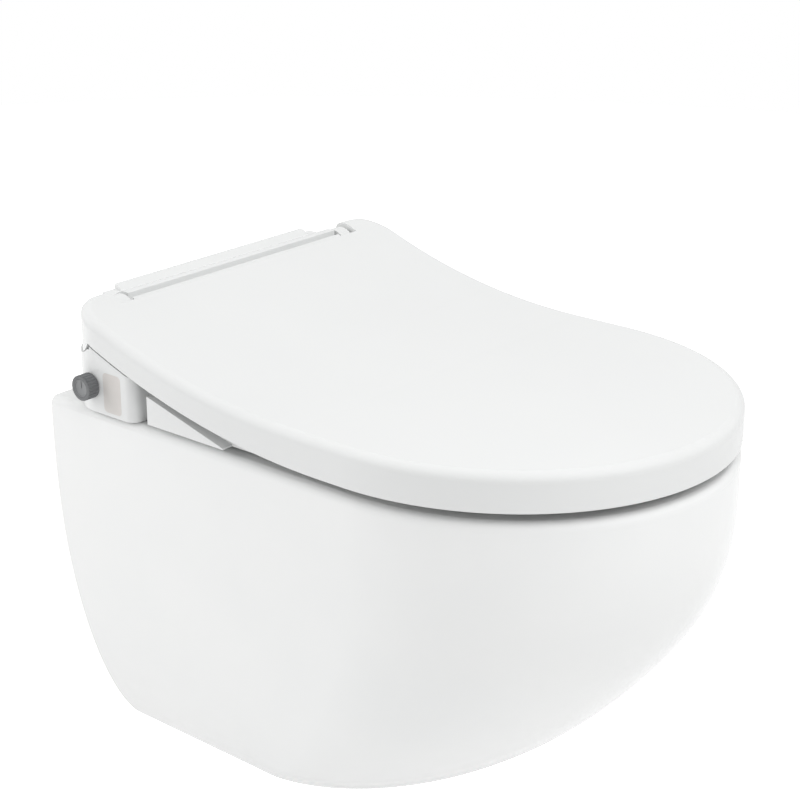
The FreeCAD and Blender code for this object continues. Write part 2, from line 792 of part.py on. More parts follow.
def make_housing_cover():
    barrel = cross_rod(s.barrel_radius, s.barrel_half_length)
    low = housing_low
    outside = shoulders(0, low).fuse([core(0, low), ledge(0), ledge_lip(), barrel, hood(0, low)])
    wall = s.housing_wall
    under = low - s.overrun
    inside = shoulders(wall, under).fuse([core(wall, under), ledge(wall), hood(wall, under)]).cut(barrel)
    cover = outside.cut(inside)
    roof = s.rim_height + s.hinge_rise
    posts = []
    for side in (-1, 1):
        for setback in (s.post_rear, s.post_front):
            foot = Vector(side * s.post_x, -setback, base_top)
            posts.append(round_bar(s.post_radius, foot, Vector(foot.x, foot.y, roof)))
    posts = posts[0].fuse(posts[1:]).common(outside)
    cover = cover.fuse(posts)
    tools = []
    for side in (-1, 1):
        for setback in (s.post_rear, s.post_front):
            foot = Vector(side * s.post_x, -setback, base_top)
            tools.append(round_bar(s.screw_radius, foot, foot + z_axis * s.screw_length))
        end = hinge + x_axis * (side * s.barrel_half_length)
        damper_end = end - x_axis * (side * (s.damper_length + s.damper_inset))
        tools.append(round_bar(s.damper_radius, end, damper_end))
        exit_start = along_nozzle(side, s.nozzle_length - s.overrun)
        exit_end = along_nozzle(side, s.nozzle_length + s.overrun)
        tools.append(round_bar(s.nozzle_radius + s.nozzle_hole_gap, exit_start, exit_end))
    knob = Vector(-s.housing_half_width, -s.knob_setback, s.rim_height + s.knob_rise)
    through = x_axis * s.overrun
    tools.append(round_bar(s.spindle_radius + s.bolt_clearance, knob - through, knob + through))
    inlet = Vector(s.housing_half_width, -s.inlet_setback, s.rim_height + s.supply_rise)
    tools.append(round_bar(s.nipple_radius, inlet - through, inlet + through))
    tools.append(trim_plate())
    tools.append(barrel_seam())
    return feature("housing_cover", cover.cut(tools))


# A thin plate let into the flank beside the knob
def trim_plate():
    low = Vector(-s.housing_half_width, -s.trim_front, s.rim_height + s.trim_low)
    high = Vector(s.trim_thickness - s.housing_half_width, -s.trim_rear, s.rim_height + s.trim_high)
    solid = bar(low, high)
    corners = [e for e in solid.Edges if abs(e.BoundBox.XLength - s.trim_thickness) < s.running_gap]
    return solid.makeFillet(s.trim_round, corners)


def make_housing_base():
    inset = s.housing_wall + s.base_gap
    plate = housing_plan(inset, s.rear_corner, s.housing_front_corner, base_low, base_top)
    holes = []
    for side in (-1, 1):
        for setback in (s.post_rear, s.post_front):
            foot = Vector(side * s.post_x, -setback, base_low)
            holes.append(round_bar(s.screw_radius, foot, foot + z_axis * s.base_thickness))
    return feature("housing_base", plate.cut(holes))


def make_housing_screws():
    screws = []
    for side in (-1, 1):
        for setback in (s.post_rear, s.post_front):
            foot = Vector(side * s.post_x, -setback, base_low)
            head = round_bar(s.screw_head_radius, foot - z_axis * s.screw_head_height, foot)
            shank = round_bar(s.screw_radius, foot, foot + z_axis * (s.base_thickness + s.screw_length))
            screws.append(head.fuse(shank).removeSplitter())
    solid = doc.addObject("Part::Feature", "housing_screws")
    solid.Shape = Part.makeCompound(screws)
    keep("housing_screws", solid)


make_housing_cover()
make_housing_base()
make_housing_screws()
feature("side_trim_plate", trim_plate())


# HINGE
def make_hinge():
    hinge_y = "0 - hinge_setback"
    hinge_z = "rim_height + hinge_rise"
    damper_start = "barrel_half_length - damper_inset - damper_length"
    damper = rod("damper_radius", "damper_length", x_axis, (damper_start, hinge_y, hinge_z))
    pair("hinge_dampers", damper)
    pin_start = "barrel_half_length - damper_inset"
    pin_length = "pin_end - barrel_half_length + damper_inset"
    pin = rod("pin_radius", pin_length, x_axis, (pin_start, hinge_y, hinge_z))
    pair("hinge_pins", pin)
    for label, start, end in (
        ("seat_bushes", "knuckle_start", "knuckle_end"),
        ("lid_bushes", "ear_start", "pin_end"),
    ):
        length = f"{end} - {start}"
        bush = rod("bush_radius", length, x_axis, (start, hinge_y, hinge_z))
        bore = rod("pin_radius + running_gap", length, x_axis, (start, hinge_y, hinge_z))
        pair(label, cut(bush, bore))


make_hinge()


# LID
def make_lid():
    front_y = -s.lid_front
    back_y = -s.lid_rear
    half_width = s.lid_half_width
    low = s.rim_height - s.overrun
    high = hinge.z + s.ear_radius + s.overrun
    plan = d_prism(half_width, back_y, front_y, s.lid_nose_depth, s.rear_corner, low, high)
    lid = plan.common(lid_profile(half_width, front_y))
    notch_low = Vector(-s.notch_half_width, -s.notch_setback, low)
    lid = lid.cut(bar(notch_low, Vector(s.notch_half_width, 0, high)))
    lid = round_lid_top(lid)
    wall = s.lid_wall
    inner_plan = d_prism(
        half_width - wall, back_y, front_y + wall, s.lid_nose_depth - wall, s.rear_corner, low, high
    )
    ear_front = hinge.y - s.ear_radius - wall
    cavity = inner_plan.common(wedge(under_top, wall, half_width, ear_front, front_y, low))
    between = wedge(under_top, wall, s.notch_half_width, -s.notch_setback + wall, ear_front - wall, low)
    lid = lid.cut([cavity, between])
    for side in (-1, 1):
        start = hinge + x_axis * (side * (s.notch_half_width - s.overrun))
        end = hinge + x_axis * (side * s.pin_end)
        lid = lid.cut(round_bar(s.bush_radius, start, end))
        gap = bar(Vector(0, -s.notch_setback, low), Vector(s.ear_start, 0, high))
        lid = lid.cut(gap if side > 0 else mirrored(gap))
    return feature("lid", lid)


# Places along an edge at which its height is tried
sample_shares = (0.25, 0.5, 0.75)


# Rounds the edge between the lid's top and its sides
def round_lid_top(lid):
    def on_top(edge):
        for share in sample_shares:
            p = edge.valueAt(edge.FirstParameter + share * (edge.LastParameter - edge.FirstParameter))
            if p.y > -s.notch_setback - s.running_gap or abs(p.z - under_top(0, p.y)) > s.running_gap:
                return False
        return True

    edges = [e for e in lid.Edges if on_top(e) and not across(e)]
    return lid.makeFillet(s.lid_round, edges)


make_lid()


# Places of the buffers, as shares of the lid's half width and of its length
lid_buffer_shares = ((0.74, 0.66), (0.36, 0.9))
seat_buffer_shares = ((0.76, 0.4), (0.7, 0.74))


def make_lid_buffers():
    buffers = []
    top = lid_top - s.lid_wall
    for width_share, length_share in lid_buffer_shares:
        for side in (-1, 1):
            at = Vector(side * width_share * s.lid_half_width, -length_share * s.lid_front, top)
            buffers.append(round_bar(s.lid_buffer_radius, at - z_axis * s.lid_buffer_height, at))
    solid = doc.addObject("Part::Feature", "lid_buffers")
    solid.Shape = Part.makeCompound(buffers)
    keep("lid_buffers", solid)


make_lid_buffers()


# SEAT RING
seat_half_width = s.housing_half_width + s.lid_overhang


def seat_plan(inset, bottom, top):
    half_width = seat_half_width - inset
    outline = d_outline(half_width, -s.seat_rear, inset - s.lid_front, s.lid_nose_depth - inset, 0)
    return prism(outline, bottom, top)


def seat_hole(bottom, top):
    half_length = (s.seat_hole_front - s.seat_hole_rear) / 2
    middle_y = -(s.seat_hole_front + s.seat_hole_rear) / 2
    return prism(ellipse_outline(s.seat_hole_half_width, half_length, middle_y, 0), bottom, top)


# The seat's side below the lid's edge, which tapers away towards the front
def seat_flange(low, high):
    corners = [
        (-s.seat_rear, low),
        (-s.flange_front, low),
        (-s.flange_front, low + s.flange_edge),
        (-s.seat_rear, s.rim_height + s.flange_rise),
    ]
    return seat_plan(s.seat_inset, low, high).common(side_block(seat_half_width, corners))


def make_seat_ring():
    low = s.rim_height + s.seat_lift
    high = hinge.z
    top_drop = s.lid_wall + s.seat_top_gap
    top_limit = wedge(under_top, top_drop, seat_half_width, -s.seat_rear, -s.lid_front, low)
    raised = seat_plan(s.seat_step, low, high).common(top_limit).cut(seat_hole(low, high))
    raised = raised.makeFillet(s.seat_round, seat_top_edges(raised, top_drop))
    flange = seat_flange(low, high).cut(seat_hole(low, high))
    seat = flange.fuse([raised, seat_arm(-1), seat_arm(1)])
    tunnel_front = -s.seat_hole_rear - s.tunnel_half_width
    tunnel_rise = s.hood_rise + s.tunnel_gap
    tools = [sloped_block(s.tunnel_half_width, -s.core_front, tunnel_front, tunnel_rise, low - s.overrun)]
    for side in (-1, 1):
        start = hinge + x_axis * (side * s.knuckle_start)
        tools.append(round_bar(s.bush_radius, start, hinge + x_axis * (side * s.knuckle_end)))
    return feature("seat_ring", seat.cut(tools))


def seat_top_edges(ring, drop):
    def on_top(edge):
        for share in sample_shares:
            p = edge.valueAt(edge.FirstParameter + share * (edge.LastParameter - edge.FirstParameter))
            if p.y > -s.seat_rear - s.running_gap or abs(p.z - under_top(drop, p.y)) > s.running_gap:
                return False
        return True

    return [e for e in ring.Edges if on_top(e) and not across(e)]


# An arm that reaches back under the lid to the hinge
def seat_arm(side):
    drop = s.lid_wall + s.seat_top_gap
    back_y = hinge.y - s.knuckle_radius / 2
    front_y = -s.seat_rear - s.seat_step
    inner = side * s.knuckle_start
    upper = [Vector(inner, y, under_top(drop, y)) for y in (back_y, front_y)]
    lower = [Vector(inner, y, under_edge(0, y)) for y in (back_y, front_y)]
    middle_y = (back_y + front_y) / 2
    edges = [
        arc(upper[0], Vector(inner, middle_y, under_top(drop, middle_y)), upper[1]),
        line(upper[1], lower[1]),
        arc(lower[1], Vector(inner, middle_y, under_edge(0, middle_y)), lower[0]),
        line(lower[0], upper[0]),
    ]
    width = x_axis * (side * (s.knuckle_end - s.knuckle_start))
    start = hinge + x_axis * inner
    knuckle = round_bar(s.knuckle_radius, start, start + width)
    return face_of(edges).extrude(width).fuse(knuckle)


make_seat_ring()


def make_seat_buffers():
    buffers = []
    low = s.rim_height + s.seat_buffer_gap
    for width_share, length_share in seat_buffer_shares:
        for side in (-1, 1):
            at = Vector(side * width_share * seat_half_width, -length_share * s.lid_front, low)
            top = at + z_axis * (s.seat_lift - s.seat_buffer_gap)
            buffers.append(round_bar(s.seat_buffer_radius, at, top))
    solid = doc.addObject("Part::Feature", "seat_buffers")
    solid.Shape = Part.makeCompound(buffers)
    keep("seat_buffers", solid)


make_seat_buffers()


# KNOB AND VALVE
def make_knob():
    start = Vector(-s.housing_half_width - s.knob_gap, -s.knob_setback, s.rim_height + s.knob_rise)
    end = start - x_axis * s.knob_length
    body = round_bar(s.knob_radius, start, end)
    rims = [e for e in body.Edges if e.Closed and e.BoundBox.XMax < end.x + s.running_gap]
    body = body.makeFillet(s.knob_round, rims)
    cap_seat = round_bar(s.knob_cap_radius, end + x_axis * s.knob_cap_depth, end)
    socket = round_bar(s.spindle_radius, start, start - x_axis * s.spindle_seat)
    feature("knob", body.cut([cap_seat, socket]))
    knob_y = "0 - knob_setback"
    knob_z = "rim_height + knob_rise"
    out = Vector(-1, 0, 0)
    cap_x = "0 - housing_half_width - knob_gap - knob_length + knob_cap_depth"
    keep("knob_cap", rod("knob_cap_radius", "knob_cap_depth", out, (cap_x, knob_y, knob_z)))
    spindle_start = "0 - housing_half_width + valve_gap + cartridge_depth"
    spindle_length = "knob_gap + spindle_seat + valve_gap + cartridge_depth"
    keep("valve_spindle", rod("spindle_radius", spindle_length, out, (spindle_start, knob_y, knob_z)))


make_knob()


valve_outer = s.housing_half_width - s.valve_gap
valve_inner = valve_outer - s.valve_length


def make_valve():
    low = Vector(-valve_outer, -s.valve_front, base_top)
    high = Vector(-valve_inner, -s.valve_rear, base_top + s.valve_height)
    body = bar(low, high)
    top_edges = [e for e in body.Edges if e.BoundBox.ZMin > high.z - s.running_gap]
    body = body.makeFillet(s.valve_round, top_edges)
    outer = Vector(-valve_outer, -s.knob_setback, s.rim_height + s.knob_rise)
    seat = outer + x_axis * s.cartridge_depth
    bore = round_bar(s.spindle_radius + s.running_gap, outer, seat)
    chamber = round_bar(s.cartridge_radius, seat, seat + x_axis * s.cartridge_length)
    feature("valve_body", body.cut([bore, chamber]))
    knob_y = "0 - knob_setback"
    knob_z = "rim_height + knob_rise"
    seat_x = "0 - housing_half_width + valve_gap + cartridge_depth"
    keep("valve_cartridge", rod("cartridge_radius", "cartridge_length", x_axis, (seat_x, knob_y, knob_z)))


make_valve()


# WATER SUPPLY
def make_supply():
    supply_y = "0 - inlet_setback"
    supply_z = "rim_height + supply_rise"
    start = "housing_half_width - nipple_inside"
    nipple = rod("nipple_radius", "nipple_inside + nipple_reach", x_axis, (start, supply_y, supply_z))
    collar_x = "housing_half_width"
    collar = rod("nipple_collar_radius", "nipple_collar_length", x_axis, (collar_x, supply_y, supply_z))
    bore = rod("nipple_bore", "nipple_inside + nipple_reach", x_axis, (start, supply_y, supply_z))
    keep("inlet_nipple", cut(fuse(nipple, collar), bore))
    filter_x = "housing_half_width + nipple_reach - filter_depth"
    keep("inlet_filter", rod("nipple_bore", "filter_thickness", x_axis, (filter_x, supply_y, supply_z)))
    height = s.rim_height + s.supply_rise
    corners = [
        (s.housing_half_width - s.nipple_inside + s.filter_thickness, s.inlet_setback),
        (s.supply_turn, s.inlet_setback),
        (s.supply_turn, s.supply_setback),
        (-valve_inner, s.supply_setback),
    ]
    points = [Vector(x, -setback, height) for x, setback in corners]
    tube = bent_rod(points, s.nipple_bore, s.supply_bend)
    feature("supply_tube", tube.cut(bent_rod(points, s.tube_bore, s.supply_bend)))


make_supply()


def make_wash_tube(label, side, setback):
    height = s.rim_height + s.wash_tube_rise
    exit_run = (s.nozzle_exit - setback) * tan(nozzle_slope)
    cylinder_radius = s.nozzle_radius + s.nozzle_slide_gap + s.cylinder_wall
    port = s.rim_height + s.nozzle_exit_rise + exit_run - cylinder_radius / cos(nozzle_slope)
    x = side * s.nozzle_spacing / 2
    start = Vector(-valve_inner, -setback, height)
    points = [start, Vector(x, -setback, height), Vector(x, -setback, port)]
    tube = bent_rod(points, s.wash_tube_radius, s.wash_tube_bend)
    bore = bent_rod(points, s.wash_tube_bore, s.wash_tube_bend)
    cylinder_rear = along_nozzle(side, -s.cylinder_cap)
    cylinder = round_bar(cylinder_radius, cylinder_rear, along_nozzle(side, s.nozzle_length))
    feature(label, tube.cut(bore).cut(cylinder))


make_wash_tube("wash_tube", -1, s.wash_tube_setback)
make_wash_tube("bidet_tube", 1, s.bidet_tube_setback)


# NOZZLES
def make_nozzle_block():
    radius = s.nozzle_radius + s.nozzle_slide_gap
    outer = radius + s.cylinder_wall
    shells = []
    bores = []
    for side in (-1, 1):
        tail = along_nozzle(side, 0)
        mouth = along_nozzle(side, s.nozzle_length - s.cylinder_short)
        shells.append(round_bar(outer, along_nozzle(side, -s.cylinder_cap), mouth))
        bores.append(round_bar(radius, tail, mouth))
    foot_top = along_nozzle(0, s.nozzle_length - (s.nozzle_exit - s.foot_front) / cos(nozzle_slope)).z
    foot_low = Vector(-s.foot_half_width - s.nozzle_spacing / 2, -s.foot_front, base_top)
    foot_high = Vector(s.foot_half_width + s.nozzle_spacing / 2, -s.foot_rear, foot_top)
    block_shape = shells[0].fuse([shells[1], bar(foot_low, foot_high)])
    feature("nozzle_block", block_shape.cut(bores))


def make_nozzle(label, side):
    joint = along_nozzle(side, s.nozzle_length - s.nozzle_tip_length)
    wand = round_bar(s.nozzle_radius, along_nozzle(side, 0), joint)
    passage = round_bar(s.nozzle_bore, along_nozzle(side, 0), joint)
    feature(f"{label}_nozzle", wand.cut(passage))
    tip_end = along_nozzle(side, s.nozzle_length)
    tip = round_bar(s.nozzle_radius, joint, tip_end)
    end_edges = [e for e in tip.Edges if e.Closed and (e.CenterOfMass - tip_end).Length < s.nozzle_bore]
    feature(f"{label}_tip", tip.makeFillet(s.nozzle_radius - s.nozzle_bore, end_edges))


make_nozzle_block()
make_nozzle("wash", -1)
make_nozzle("bidet", 1)

doc.recompute()
for thing in doc.Objects:
    if "Invalid" in thing.State or "Error" in thing.State:
        raise RuntimeError(f"{thing.Label} did not build: {thing.State}")
for label, solid in nodes.items():
    if solid.Shape.isNull() or not solid.Shape.isValid():
        raise RuntimeError(f"{label} has no valid shape")

os.makedirs("parts", exist_ok=True)
for label, solid in nodes.items():
    solid.Shape.exportStep(f"parts/{label}.step")
    print(label, len(solid.Shape.Solids), round(solid.Shape.Volume))
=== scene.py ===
import bmesh
import bpy
import json
from math import atan2, cos, pi, radians, sin
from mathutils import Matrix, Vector


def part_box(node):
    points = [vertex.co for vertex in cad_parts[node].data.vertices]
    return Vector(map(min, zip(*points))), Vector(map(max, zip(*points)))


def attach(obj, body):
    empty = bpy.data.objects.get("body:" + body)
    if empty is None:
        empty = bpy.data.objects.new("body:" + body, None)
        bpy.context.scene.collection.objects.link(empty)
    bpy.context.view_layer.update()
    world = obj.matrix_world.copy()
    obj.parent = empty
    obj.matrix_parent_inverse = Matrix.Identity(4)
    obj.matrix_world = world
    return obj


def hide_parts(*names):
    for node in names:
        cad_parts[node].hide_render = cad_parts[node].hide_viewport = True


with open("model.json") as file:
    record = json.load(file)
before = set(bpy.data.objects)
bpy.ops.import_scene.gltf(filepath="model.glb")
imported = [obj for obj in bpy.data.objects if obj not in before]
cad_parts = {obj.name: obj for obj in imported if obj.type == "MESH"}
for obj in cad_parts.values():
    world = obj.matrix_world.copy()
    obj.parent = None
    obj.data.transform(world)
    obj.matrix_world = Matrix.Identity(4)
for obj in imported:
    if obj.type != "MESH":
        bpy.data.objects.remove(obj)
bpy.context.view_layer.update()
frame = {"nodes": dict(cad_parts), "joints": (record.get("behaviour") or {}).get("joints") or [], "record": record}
nodes = frame["nodes"]
print("frame loaded,", len(nodes), "nodes")

# Camera, at the place that the lid's outline in the photograph gives
cameraView = {
    "azimuth": -49.91,
    "elevation": 20.52,
    "distance": 1.5431,
    "target": (-0.0272, -0.2522, 0.0973),
    "lens": 84.83,
    "sensor": 36,
}


def wayTo(azimuth, elevation):  # unit vector from the target towards a lamp or the camera
    a, e = radians(azimuth), radians(elevation)
    return Vector((sin(a) * cos(e), -cos(a) * cos(e), sin(e)))


def makeCamera():
    back = wayTo(cameraView["azimuth"], cameraView["elevation"])
    place = Vector(cameraView["target"]) + back * cameraView["distance"]
    bpy.ops.object.camera_add(location=place, rotation=(-back).to_track_quat("-Z", "Y").to_euler())
    camera = bpy.context.object
    camera.name = "photoCamera"
    camera.data.lens = cameraView["lens"]
    camera.data.sensor_width = cameraView["sensor"]
    bpy.context.scene.camera = camera


makeCamera()
print("camera placed")

# Light: three soft lamps that neither the camera nor a reflection shows, and a white world
lamps = {
    "leftSoftbox": {"azimuth": -150, "elevation": 20, "distance": 2.2, "size": 1.8, "power": 17.5},
    "frontSoftbox": {"azimuth": 0, "elevation": 55, "distance": 2.2, "size": 2.4, "power": 24.5},
    "topSoftbox": {"azimuth": 0, "elevation": 86, "distance": 2.2, "size": 2.4, "power": 5},
}
lightTarget = Vector((0, -0.26, 0.0))
worldLight = {"ambient": 0.6, "background": 1.0, "mirrored": 0.375}


def makeLamp(name, lamp):
    back = wayTo(lamp["azimuth"], lamp["elevation"])
    turn = (-back).to_track_quat("-Z", "Y").to_euler()
    bpy.ops.object.light_add(type="AREA", location=lightTarget + back * lamp["distance"], rotation=turn)
    light = bpy.context.object
    light.name = name
    light.data.shape = "DISK"
    light.data.size = lamp["size"]
    light.data.energy = lamp["power"]
    light.visible_camera = False
    light.visible_glossy = False


for lampName, lamp in lamps.items():
    makeLamp(lampName, lamp)


def seenLevel(tree, path):  # 1 for a camera ray, less for a mirrored or clear one, 0 for light that spreads
    level = path.outputs["Is Camera Ray"]
    for ray in ("Is Glossy Ray", "Is Transmission Ray"):
        weaker = tree.nodes.new("ShaderNodeMath")
        weaker.operation = "MULTIPLY"
        weaker.inputs[1].default_value = worldLight["mirrored"]
        tree.links.new(path.outputs[ray], weaker.inputs[0])
        larger = tree.nodes.new("ShaderNodeMath")
        larger.operation = "MAXIMUM"
        tree.links.new(level, larger.inputs[0])
        tree.links.new(weaker.outputs[0], larger.inputs[1])
        level = larger.outputs[0]
    return level


def makeWorld():  # plain white where the camera sees it, softer in reflections and as a lamp
    world = bpy.data.worlds.new("studioWorld")
    bpy.context.scene.world = world
    world.use_nodes = True
    tree = world.node_tree
    tree.nodes.clear()
    out = tree.nodes.new("ShaderNodeOutputWorld")
    ambient = tree.nodes.new("ShaderNodeBackground")
    ambient.inputs["Strength"].default_value = worldLight["ambient"]
    seen = tree.nodes.new("ShaderNodeBackground")
    seen.inputs["Strength"].default_value = worldLight["background"]
    for lit in (ambient, seen):
        lit.inputs["Color"].default_value = (1, 1, 1, 1)
    path = tree.nodes.new("ShaderNodeLightPath")
    mix = tree.nodes.new("ShaderNodeMixShader")
    tree.links.new(seenLevel(tree, path), mix.inputs["Fac"])
    tree.links.new(ambient.outputs[0], mix.inputs[1])
    tree.links.new(seen.outputs[0], mix.inputs[2])
    tree.links.new(mix.outputs[0], out.inputs["Surface"])


makeWorld()
bpy.context.scene.view_settings.view_transform = "Standard"
print("lamps lit")

# Floor, at the height below the rim at which a wall hung pan is fitted
stageFloor = {
    "rimHeight": 0.42,
    "radius": 3.2,
    "sides": 128,
    "colour": (0.92, 0.92, 0.92, 1),
    "roughness": 0.9,
    "specular": 0.1,
    "lift": 0.62,
}


def makeFloor():
    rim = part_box("pan_rim")[1].z
    bpy.ops.object.select_all(action="DESELECT")
    bpy.ops.mesh.primitive_circle_add(
        vertices=stageFloor["sides"],
        radius=stageFloor["radius"],
        fill_type="NGON",
        location=(0, 0, rim - stageFloor["rimHeight"]),
    )
    floor = bpy.context.object
    floor.name = "floor"
    material = bpy.data.materials.new("paleFloor")
    material.use_nodes = True
    tree = material.node_tree
    shader = tree.nodes["Principled BSDF"]
    shader.inputs["Base Color"].default_value = stageFloor["colour"]
    shader.inputs["Roughness"].default_value = stageFloor["roughness"]
    shader.inputs["Specular IOR Level"].default_value = stageFloor["specular"]
    path = tree.nodes.new("ShaderNodeLightPath")
    glow = tree.nodes.new("ShaderNodeMath")
    glow.operation = "MULTIPLY"
    glow.inputs[1].default_value = stageFloor["lift"]
    shader.inputs["Emission Color"].default_value = (1, 1, 1, 1)
    tree.links.new(seenLevel(tree, path), glow.inputs[0])
    tree.links.new(glow.outputs[0], shader.inputs["Emission Strength"])
    floor.data.materials.append(material)


makeFloor()
print("floor laid")


# Finishes, one for each slot that the parts name
def newGroup(name, inputs, outputs):
    group = bpy.data.node_groups.new(name, "ShaderNodeTree")
    for socket in inputs:
        group.interface.new_socket(socket, in_out="INPUT", socket_type="NodeSocketFloat")
    for socket in outputs:
        group.interface.new_socket(socket, in_out="OUTPUT", socket_type="NodeSocketFloat")
    return group, group.nodes.new("NodeGroupInput"), group.nodes.new("NodeGroupOutput")


noises = {
    "drift": {"Detail": 2, "Roughness": 0.45},
    "grain": {"Detail": 4, "Roughness": 0.6},
    "lines": {"Detail": 5, "Roughness": 0.7},
    "stains": {"Detail": 3, "Roughness": 0.5},
}
noiseMiddle = (0.3, 0.7)
lineStretch = (1, 0.08, 0.08)


def noiseIn(tree, kind):
    noise = tree.nodes.new("ShaderNodeTexNoise")
    for socket, value in noises[kind].items():
        noise.inputs[socket].default_value = value
    return noise


def makeSurfaceDrift():  # slow drift over the whole surface, and a fine grain
    group, given, put = newGroup("surfaceDrift", ("Drift Scale", "Grain Scale"), ("Drift", "Grain"))
    place = group.nodes.new("ShaderNodeTexCoord")
    drift = noiseIn(group, "drift")
    grain = noiseIn(group, "grain")
    for noise, scale, result in ((drift, "Drift Scale", "Drift"), (grain, "Grain Scale", "Grain")):
        group.links.new(place.outputs["Object"], noise.inputs["Vector"])
        group.links.new(given.outputs[scale], noise.inputs["Scale"])
        group.links.new(noise.outputs["Fac"], put.inputs[result])
    return group


def makeBrushedLines():  # drawn or turned metal, with lines across its length
    group, given, put = newGroup("brushedLines", ("Line Scale", "Stain Scale"), ("Lines", "Stains"))
    place = group.nodes.new("ShaderNodeTexCoord")
    stretch = group.nodes.new("ShaderNodeMapping")
    stretch.inputs["Scale"].default_value = lineStretch
    lines = noiseIn(group, "lines")
    stains = noiseIn(group, "stains")
    group.links.new(place.outputs["Object"], stretch.inputs["Vector"])
    group.links.new(stretch.outputs["Vector"], lines.inputs["Vector"])
    group.links.new(place.outputs["Object"], stains.inputs["Vector"])
    group.links.new(given.outputs["Line Scale"], lines.inputs["Scale"])
    group.links.new(given.outputs["Stain Scale"], stains.inputs["Scale"])
    group.links.new(lines.outputs["Fac"], put.inputs["Lines"])
    group.links.new(stains.outputs["Fac"], put.inputs["Stains"])
    return group


surfaceDrift = makeSurfaceDrift()
brushedLines = makeBrushedLines()


def useGroup(tree, group, **values):
    node = tree.nodes.new("ShaderNodeGroup")
    node.node_tree = group
    for socket, value in values.items():
        node.inputs[socket.replace("_", " ")].default_value = value
    return node


def blendColours(tree, mask, first, second):  # gives the two colour inputs and the colour output
    mix = tree.nodes.new("ShaderNodeMix")
    mix.data_type = "RGBA"
    colourIn = [socket for socket in mix.inputs if socket.type == "RGBA"]
    colourIn[0].default_value = (*first, 1)
    colourIn[1].default_value = (*second, 1)
    tree.links.new(mask, mix.inputs["Factor"])
    return colourIn, next(socket for socket in mix.outputs if socket.type == "RGBA")


def spread(tree, value, low, high):  # maps the middle of a noise to a range
    ranged = tree.nodes.new("ShaderNodeMapRange")
    ranged.inputs["From Min"].default_value = noiseMiddle[0]
    ranged.inputs["From Max"].default_value = noiseMiddle[1]
    ranged.inputs["To Min"].default_value = low
    ranged.inputs["To Max"].default_value = high
    tree.links.new(value, ranged.inputs["Value"])
    return ranged.outputs["Result"]


def newFinish(name, look):
    material = bpy.data.materials.new(name)
    material.use_nodes = True
    tree = material.node_tree
    shader = tree.nodes["Principled BSDF"]
    for socket, value in look.get("values", {}).items():
        shader.inputs[socket].default_value = value
    if "lineScale" in look:
        detail = useGroup(tree, brushedLines, Line_Scale=look["lineScale"], Stain_Scale=look["stainScale"])
        broad, fine = detail.outputs["Stains"], detail.outputs["Lines"]
    else:
        detail = useGroup(tree, surfaceDrift, Drift_Scale=look["driftScale"], Grain_Scale=look["grainScale"])
        broad, fine = detail.outputs["Drift"], detail.outputs["Grain"]
    tint = spread(tree, broad, 0, 1)
    colour = blendColours(tree, tint, look["colour"], look["shade"])[1]
    roughness = spread(tree, fine, *look["roughness"])
    tree.links.new(colour, shader.inputs["Base Color"])
    tree.links.new(roughness, shader.inputs["Roughness"])
    bump = tree.nodes.new("ShaderNodeBump")
    bump.inputs["Strength"].default_value = look["bumpStrength"]
    bump.inputs["Distance"].default_value = look["bumpDepth"]
    tree.links.new(broad if look.get("ripple") else fine, bump.inputs["Height"])
    tree.links.new(bump.outputs["Normal"], shader.inputs["Normal"])
    if "bare" in look:
        bareEdge(tree, shader, colour, roughness, fine, look["bare"])
    return material


def bareEdge(tree, shader, colour, roughness, fine, bare):  # unglazed clay on the face set against the wall
    place = tree.nodes.new("ShaderNodeTexCoord")
    parts = tree.nodes.new("ShaderNodeSeparateXYZ")
    behind = tree.nodes.new("ShaderNodeMapRange")
    behind.inputs["From Min"].default_value = -bare["reach"] - bare["fade"]
    behind.inputs["From Max"].default_value = -bare["reach"]
    tree.links.new(place.outputs["Object"], parts.inputs["Vector"])
    tree.links.new(parts.outputs["Y"], behind.inputs["Value"])
    mask = behind.outputs["Result"]
    clayColour = blendColours(tree, fine, bare["colour"], bare["shade"])[1]
    colourIn, mixed = blendColours(tree, mask, bare["colour"], bare["colour"])
    tree.links.new(colour, colourIn[0])
    tree.links.new(clayColour, colourIn[1])
    tree.links.new(mixed, shader.inputs["Base Color"])
    rough = tree.nodes.new("ShaderNodeMix")
    rough.data_type = "FLOAT"
    rough.inputs["B"].default_value = bare["roughness"]
    tree.links.new(mask, rough.inputs["Factor"])
    tree.links.new(roughness, rough.inputs["A"])
    tree.links.new(rough.outputs["Result"], shader.inputs["Roughness"])


